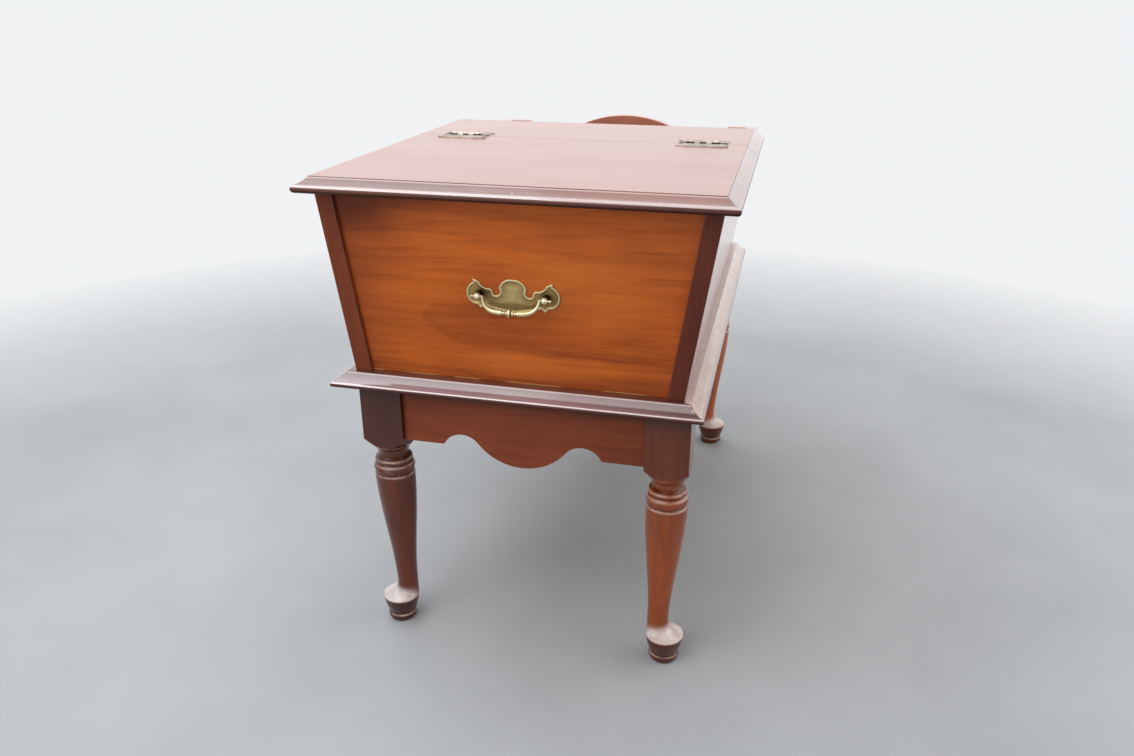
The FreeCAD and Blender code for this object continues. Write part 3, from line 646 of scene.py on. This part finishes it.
# Painted highlights on the turned arrises, partly rubbed wear
LEG_ARRIS_HIGHLIGHT_AND_WEAR = rgba(224, 188, 168)
LEG_WORN = rgba(206, 168, 140)
LEG_NICK = rgba(206, 160, 110)
# Painted highlight on the pads' tops, partly a dusty film
PAD_HIGHLIGHT_AND_DUST = rgba(226, 212, 206)
# Heights, from where a mark begins to where it is full
BLOCK_DARKENING = (0.258, 0.275)
# Painted shade on the foot below the pad's rim
FOOT_SHADE = (0.0362, 0.0335)
PAD_FROM_ABOVE = (0.056, 0.044)
PAD_FROM_BELOW = (0.0320, 0.0345)
TURNINGS_FROM_BELOW = (0.219, 0.226)
TURNINGS_FROM_ABOVE = (0.262, 0.256)
# Heights of the turned grooves, darkened as painted shade, and of the arrises beside them, lightened
# as painted highlights
GROOVES_Z = (0.0135, 0.2276, 0.2425, 0.2500)
ARRIS_HIGHLIGHT_Z = (0.0100, 0.0356, 0.2252, 0.2387, 0.2466, 0.2671)
GROOVE_FADE = (0.0026, 0.0005)
ARRIS_HIGHLIGHT_FADE = (0.0017, 0.0004)


def rack_stain(n, colour):
    """The deck board is stained where it shows as the floor of the rack."""
    return n.tint(colour, n.span(n.along(Y), *RACK_FLOOR_START), 0.8, RACK_FLOOR)


def leg_darkening(n, colour, z):
    """Darker block, and painted shade on the foot below the pad's rim and in the grooves."""
    colour = n.tint(colour, n.span(z, *BLOCK_DARKENING), 0.48, LEG_DEEP)
    colour = n.tint(colour, n.span(z, *FOOT_SHADE), 0.80, LEG_DEEP)
    for groove_z in GROOVES_Z:
        colour = n.tint(colour, n.span(n.away(z, groove_z), *GROOVE_FADE), 0.6, LEG_DEEP)
    return colour


def leg_arrises(n, colour, z):
    """Patchy pale lines on the turned arrises: painted highlights, partly rubbed wear."""
    patches = n.noise(n.place((1, 1, 0.4), (1, 2, 3)), 55.0, 3.0, 0.6)
    patchy = n.span(patches, 0.35, 0.62, 0.15, 0.65)
    for highlight_z in ARRIS_HIGHLIGHT_Z:
        colour = n.tint(colour, n.span(n.away(z, highlight_z), *ARRIS_HIGHLIGHT_FADE), patchy, LEG_ARRIS_HIGHLIGHT_AND_WEAR)
    return colour


def pad_highlight_and_dust(n, colour, z):
    """Pale film on the upward faces of the pad: painted highlight, partly a scuffed dusty film."""
    normal = n.add("ShaderNodeNewGeometry").outputs["Normal"]
    up = n.add("ShaderNodeSeparateXYZ", {0: normal}).outputs[Z]
    low = n.times(n.span(z, *PAD_FROM_ABOVE), n.span(z, *PAD_FROM_BELOW))
    level = n.span(up, 0.0, 0.32)
    pale_share = n.span(n.noise(n.place(), 90.0, 3.0, 0.6), 0.30, 0.6, 0.65, 1.0)
    return n.tint(colour, n.times(n.times(low, level), pale_share), 0.95, PAD_HIGHLIGHT_AND_DUST)


def leg_wear(n, colour, z):
    """Rubbed places on the upper turnings, and small nicks all over."""
    rubbed = n.span(n.noise(n.place((1, 1, 2.5)), 60.0, 4.0, 0.7), 0.50, 0.66)
    turnings = n.times(n.span(z, *TURNINGS_FROM_BELOW), n.span(z, *TURNINGS_FROM_ABOVE))
    colour = n.tint(colour, n.times(rubbed, turnings), 0.18, LEG_WORN)
    nick = n.span(n.noise(n.place((1, 1, 0.5)), 190.0, 2.0, 0.6), 0.76, 0.80)
    return n.tint(colour, nick, 0.45, LEG_NICK)


def leg_tones(n, colour):
    z = n.along(Z)
    for mark in (leg_darkening, leg_arrises, pad_highlight_and_dust, leg_wear):
        colour = mark(n, colour, z)
    # Painted shadow under the waist moulding on the leg's block
    return shade_under_waist(n, colour)


# Marks of the metal pieces

POST_DARK = rgba(52, 38, 24)
POST_SHADE = (PLATE_FRONT - 0.0062, PLATE_FRONT - 0.0042)
# Painted highlights on the plate's middle and rim, painted shade in its trough and beside the posts
PLATE_CENTRE_HIGHLIGHT = rgba(222, 206, 158)
PLATE_TROUGH_SHADE = rgba(104, 86, 58)
PLATE_SHADE = rgba(76, 58, 38)
PLATE_RIM_HIGHLIGHT = rgba(226, 208, 172)
TROUGH_DEPTH = (PLATE_FRONT + 0.00045, PLATE_FRONT + 0.0008)
RIM_DEPTH = (PLATE_FRONT + 0.00030, PLATE_FRONT + 0.00010)
CENTRE_HIGHLIGHT_SPOT = ((0.0, PLATE_FRONT, 0.482), (0.030, 0.1, 0.022), 0.1, 90.0)
SHADE_ASIDE = 0.002
SHADE_Z = 0.484
SHADE_REACH = (0.0125, 0.1, 0.0105)
# Painted shade in the corner under each hinge's barrel
HINGE_CORNER_SHADE = rgba(54, 44, 36)
HINGE_SHADE_WIDTH = (0.0060, 0.0038)
HINGE_SHADE_DROP = 0.0012


def post_tones(n, colour):
    """Ball post that darkens toward the plate, as painted shade and patina."""
    return n.mix(n.span(n.along(Y), *POST_SHADE), colour, POST_DARK)


def plate_tones(n, colour):
    """Painted highlights in the middle of the field and on the rolled rim, and painted shade in the
    trough just inside the rim and beside the posts; rim and trough are told apart by their depth.
    """
    y = n.along(Y)
    colour = n.tint(colour, spot(n, *CENTRE_HIGHLIGHT_SPOT), 0.2, PLATE_CENTRE_HIGHLIGHT)
    colour = n.tint(colour, n.span(y, *TROUGH_DEPTH), 0.35, PLATE_TROUGH_SHADE)
    for side in (-1, 1):
        centre = (side * POST_X + SHADE_ASIDE, PLATE_FRONT, SHADE_Z)
        colour = n.tint(colour, spot(n, centre, SHADE_REACH, 0.3, 200.0), 0.8, PLATE_SHADE)
    return n.tint(colour, n.span(y, *RIM_DEPTH), 0.6, PLATE_RIM_HIGHLIGHT)


def hinge_tones(n, colour):
    """Painted shade in the corner between a hinge's barrel and its leaves."""
    beside = n.span(n.away(n.along(Y), LID_AXIS[Y]), *HINGE_SHADE_WIDTH)
    below = n.span(n.along(Z), LID_AXIS[Z], LID_AXIS[Z] - HINGE_SHADE_DROP)
    return n.tint(colour, n.times(beside, below), 0.85, HINGE_CORNER_SHADE)


# Faces with a finish of their own, told by their normal: 1 along an axis looks straight along it

SLOPE_UP = 0.5
FACES_DOWN = -0.25
BARELY_TILTED = 0.95
FACES_ALONG = 0.9


def finish_moulding(piece, node, axis, seed):
    """Dark nose, a gleaming upper side of it, and a plain underside. The underside, and on the lid's
    mouldings also the nose, take darker tones as painted shade; the waist's gleaming side takes a
    paler tone as a painted highlight.
    """
    nose_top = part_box(node)[LOW][Z] + NOSE_HEIGHT[node.split("_")[0]]
    # The nose takes the waist tone, on the lid's mouldings darker than their own: painted shade
    nose = wood(node + "_nose", axis, *MOULD, seed, **NOSE)
    paint_where(piece, nose, lambda face: face.center.z < nose_top and face.normal.z < SLOPE_UP)
    # The waist moulding's gleaming side is painted paler, as a highlight
    gleam_tones = WAIST_GLEAM_HIGHLIGHT if "waist" in node else LID_MOULD
    gleam = wood(node + "_gleam", axis, *gleam_tones, seed, **GLEAM)
    paint_where(piece, gleam, lambda face: face.center.z < nose_top and face.normal.z >= SLOPE_UP)
    # Darker, duller underside: painted shade
    under = wood(node + "_under", axis, *UNDERSIDE_SHADE, seed, **MATT)
    paint_where(piece, under, lambda face: face.normal.z < FACES_DOWN)


def finish_top(piece, node, axis, seed):
    """Edges of a top board in the tone of its mouldings."""
    rim = wood(node + "_rim", axis, *LID_MOULD, seed, **TABLETOP)
    paint_where(piece, rim, lambda face: abs(face.normal.z) < BARELY_TILTED)


def finish_side(piece, node, axis, seed):
    """Plain dull ends of a side board; the right board's are in a darker tone, as painted shade."""
    edge_tones = EDGE if "left" in node else EDGE_SHADED
    edge = wood(node + "_edge", Z, *edge_tones, seed, **MATT)
    paint_where(piece, edge, lambda face: abs(face.normal.y) > FACES_ALONG)


def finish_gallery(piece, node, axis, seed):
    """Rear face of the gallery board, in the finish of the sides."""
    rear = wood(node + "_rear", axis, *SIDE, seed, **POLISHED)
    paint_where(piece, rear, lambda face: face.normal.y > FACES_ALONG)


def finish_deck(piece, node, axis, seed):
    """Stained rear edge of the deck board."""
    stained = wood("deck_rear_wood", X, *APRON, seed, **SATIN)
    paint_where(piece, stained, lambda face: face.normal.y > FACES_ALONG)


PANEL_FINISH = dict(
    SATIN, coat=0.25, shine=0.06, marks=panel_marks, rings=52.0, tilt=0.08,
    heart=(0.0, 0.25, -0.47), ring_share=0.16, fibre_share=0.6, streak_share=0.6)
# The aprons carry the painted shadow under the waist moulding
APRON_FINISH = dict(SATIN, coat=0.3, marks=shade_under_waist)

# Node, axis of its grain, tones, finish, and what is finished apart
BOARDS = (
    ("front_panel", X, PANEL, PANEL_FINISH, None),
    ("side_board_left", Y, SIDE, POLISHED, finish_side),
    ("side_board_right", Y, SIDE, POLISHED, finish_side),
    ("back_board", X, GALLERY, TABLETOP, finish_gallery),
    ("partition", X, INSIDE, SATIN, None),
    ("deck_board", Y, RAW, dict(BARE, marks=rack_stain), finish_deck),
    ("apron_front", X, APRON, APRON_FINISH, None),
    ("apron_rear", X, APRON, APRON_FINISH, None),
    ("apron_left", Y, APRON, APRON_FINISH, None),
    ("apron_right", Y, APRON, APRON_FINISH, None),
    ("lid_board", X, TOP, TABLETOP, finish_top),
    ("top_strip", X, TOP, TABLETOP, finish_top),
    ("lid_moulding_front", X, LID_MOULD, dict(MOULDED, coat_ior=1.60, marks=lid_tones),
     finish_moulding),
    ("waist_moulding_front", X, MOULD, dict(MOULDED, coat_ior=1.72, marks=waist_tones),
     finish_moulding),
    ("lid_moulding_left", Y, LID_MOULD, MOULDED, finish_moulding),
    ("lid_moulding_right", Y, LID_MOULD, MOULDED, finish_moulding),
    ("top_moulding_left", Y, LID_MOULD, MOULDED, finish_moulding),
    ("top_moulding_right", Y, LID_MOULD, MOULDED, finish_moulding),
    ("waist_moulding_left", Y, MOULD, MOULDED, finish_moulding),
    ("waist_moulding_right", Y, MOULD, dict(MOULDED, marks=scuffed), finish_moulding))
# Each leg has a tone of its own; the rear right leg's paler tone is painted light on that leg
LEGS = (
    ("leg_front_left", LEG_DARK), ("leg_front_right", LEG_WARM),
    ("leg_rear_left", LEG_DARK), ("leg_rear_right", LEG_PALE))

# First seeds of the woods. Each board and each leg adds its place in the list.
BOARD_SEED = 1.0
LEG_SEED = 40.0
BLOCK_SEED = 50.0
DOWEL_SEED = 60.0


def dress_boards():
    for index, (node, axis, tones, finish, finish_apart) in enumerate(BOARDS):
        seed = BOARD_SEED + index
        piece = eased(node)
        paint(piece, wood(node + "_wood", axis, *tones, seed, **finish))
        if finish_apart:
            finish_apart(piece, node, axis, seed)


def dress_legs_and_blocks():
    for index, (node, tones) in enumerate(LEGS):
        paint_node(node, wood(node + "_wood", Z, *tones, LEG_SEED + index, marks=leg_tones, **TURNED))
    for node in ("corner_blocks", "bottom_cleats", "top_cleats"):
        paint_node(node, wood(node + "_wood", Y, *RAW, BLOCK_SEED, **BARE))
    paint_node("apron_dowels", wood("dowel_wood", X, *RAW, DOWEL_SEED, **BARE))


def dress_metal():
    brass = metal("aged_brass", rgba(214, 202, 166), rgba(180, 166, 128), 3.0, (0.38, 0.48))
    bronze = metal("plate_bronze", rgba(172, 147, 93), rgba(142, 119, 71), 3.5, marks=plate_tones)
    post = metal("post_brass", rgba(224, 214, 186), rgba(190, 176, 142), 3.2, marks=post_tones)
    pewter = metal("hinge_brass", rgba(196, 184, 170), rgba(146, 134, 123), 4.0, (0.4, 0.5),
                   marks=hinge_tones)
    steel = metal("screw_steel", rgba(190, 190, 192), rgba(130, 130, 134), 5.0)
    paint(dished_plate(), bronze)
    for node, slot in SLOT_OF.items():
        if slot == "aged_brass" and node != "pull_plate":
            paint_node(node, pewter if "hinge" in node else post if "post" in node else brass)
        elif slot == "screw_steel":
            paint_node(node, steel)


# Stage, light and camera

BACKGROUND = rgba(240, 242, 244)
FLOOR_PALE = rgba(180, 182, 184)
FLOOR_DEEP = rgba(166, 168, 170)
FLOOR_RADIUS = 30.0
FLOOR_CENTRE_SHIFT = (0.0, 0.3, 0.0)
FLOOR_FADE = (1.2, 2.1)
SKY = (0.97, 0.98, 1.0, 1.0)
SKY_STRENGTH = 0.4

# Name, place, point aimed at, width and height, radiance, colour
LAMPS = (
    ("overhead_left", (-1.05, -0.75, 2.2), (-1.05, -0.75, 0.5), (1.3, 1.9), 3.0, (0.90, 0.96, 1.0)),
    ("overhead_right", (0.0, -0.75, 2.2), (0.0, -0.75, 0.5), (0.8, 1.9), 1.8, (1.0, 1.0, 1.0)),
    ("overhead_back", (-0.5, 0.85, 2.2), (-0.5, 0.85, 0.5), (1.8, 1.2), 2.4, (0.95, 0.98, 1.0)),
    ("behind", (-0.8, 2.6, 1.25), (0.0, 0.0, 0.6), (4.8, 1.7), 0.35, (1.0, 1.0, 1.0)),
    ("right", (2.4, 0.5, 1.3), (0.2, 0.0, 0.4), (2.8, 2.0), 1.7, (1.0, 1.0, 1.0)),
    ("front", (-1.2, -2.6, 1.9), (0.0, 0.0, 0.4), (2.2, 2.4), 1.67, (1.0, 1.0, 1.0)))


def stage():
    """Pale grey floor that is seen to fade to white all round the table."""
    bpy.ops.mesh.primitive_circle_add(vertices=96, radius=FLOOR_RADIUS, fill_type="NGON")
    floor = bpy.context.object
    floor.name = "floor"
    material = bpy.data.materials.new("floor_grey")
    n = Nodes(material)
    cloud = n.noise(n.place(), 2.4, 4.0, 0.55)
    colour = n.mix(n.span(cloud, 0.3, 0.7), FLOOR_PALE, FLOOR_DEEP)
    grey = n.add("ShaderNodeBsdfPrincipled", {"Base Color": colour, "Roughness": 0.7})
    white = n.add("ShaderNodeEmission", {"Color": BACKGROUND, "Strength": 1.0})
    from_table = n.place(location=FLOOR_CENTRE_SHIFT)
    reach = n.add("ShaderNodeVectorMath", {0: from_table}, operation="LENGTH").outputs["Value"]
    path = n.add("ShaderNodeLightPath")
    seen = n.math("MAXIMUM", path.outputs["Is Camera Ray"], path.outputs["Is Glossy Ray"])
    fade = n.times(n.span(reach, *FLOOR_FADE), seen)
    shader = n.add("ShaderNodeMixShader", {0: fade, 1: grey.outputs[0], 2: white.outputs[0]})
    n.surface(shader.outputs[0])
    paint(floor, material)


def softbox(name, place, target, size, strength, colour):
    """Rectangular area light aimed at a point; strength is its radiance."""
    lamp = bpy.data.lights.new(name, "AREA")
    lamp.shape = "RECTANGLE"
    lamp.size, lamp.size_y = size
    lamp.energy = strength * size[0] * size[1] * math.pi
    lamp.color = colour
    holder = bpy.data.objects.new(name, lamp)
    bpy.context.collection.objects.link(holder)
    holder.location = place
    aim = Vector(target) - Vector(place)
    holder.rotation_euler = aim.to_track_quat("-Z", "Y").to_euler()
    holder.visible_camera = False


def world():
    """Soft light all round, which is seen and mirrored as the pale background."""
    sky = bpy.data.worlds.new("studio")
    bpy.context.scene.world = sky
    n = Nodes(sky)
    path = n.add("ShaderNodeLightPath")
    seen = n.math("MAXIMUM", path.outputs["Is Camera Ray"], path.outputs["Is Glossy Ray"])
    soft = n.add("ShaderNodeBackground", {"Color": SKY, "Strength": SKY_STRENGTH})
    white = n.add("ShaderNodeBackground", {"Color": BACKGROUND, "Strength": 1.0})
    either = n.add("ShaderNodeMixShader", {0: seen, 1: soft.outputs[0], 2: white.outputs[0]})
    n.add("ShaderNodeOutputWorld", {"Surface": either.outputs[0]})


def camera():
    lens = bpy.data.cameras.new("camera")
    lens.sensor_width = SENSOR_MM
    lens.lens = FOCAL_PX / PHOTO_WIDTH_PX * SENSOR_MM
    lens.clip_start = 0.01
    holder = bpy.data.objects.new("camera", lens)
    bpy.context.collection.objects.link(holder)
    holder.location = CAMERA_PLACE
    holder.rotation_euler = (math.pi / 2 - CAMERA_DOWN, 0.0, CAMERA_TURN)
    bpy.context.scene.camera = holder


def clear_start_objects():
    for leftover in [o for o in bpy.data.objects if o.name in ("Cube", "Light", "Camera")]:
        bpy.data.objects.remove(leftover)


dress_boards()
dress_legs_and_blocks()
dress_metal()
clear_start_objects()
stage()
for lamp in LAMPS:
    softbox(*lamp)
world()
camera()
bpy.context.scene.view_settings.view_transform = "Standard"
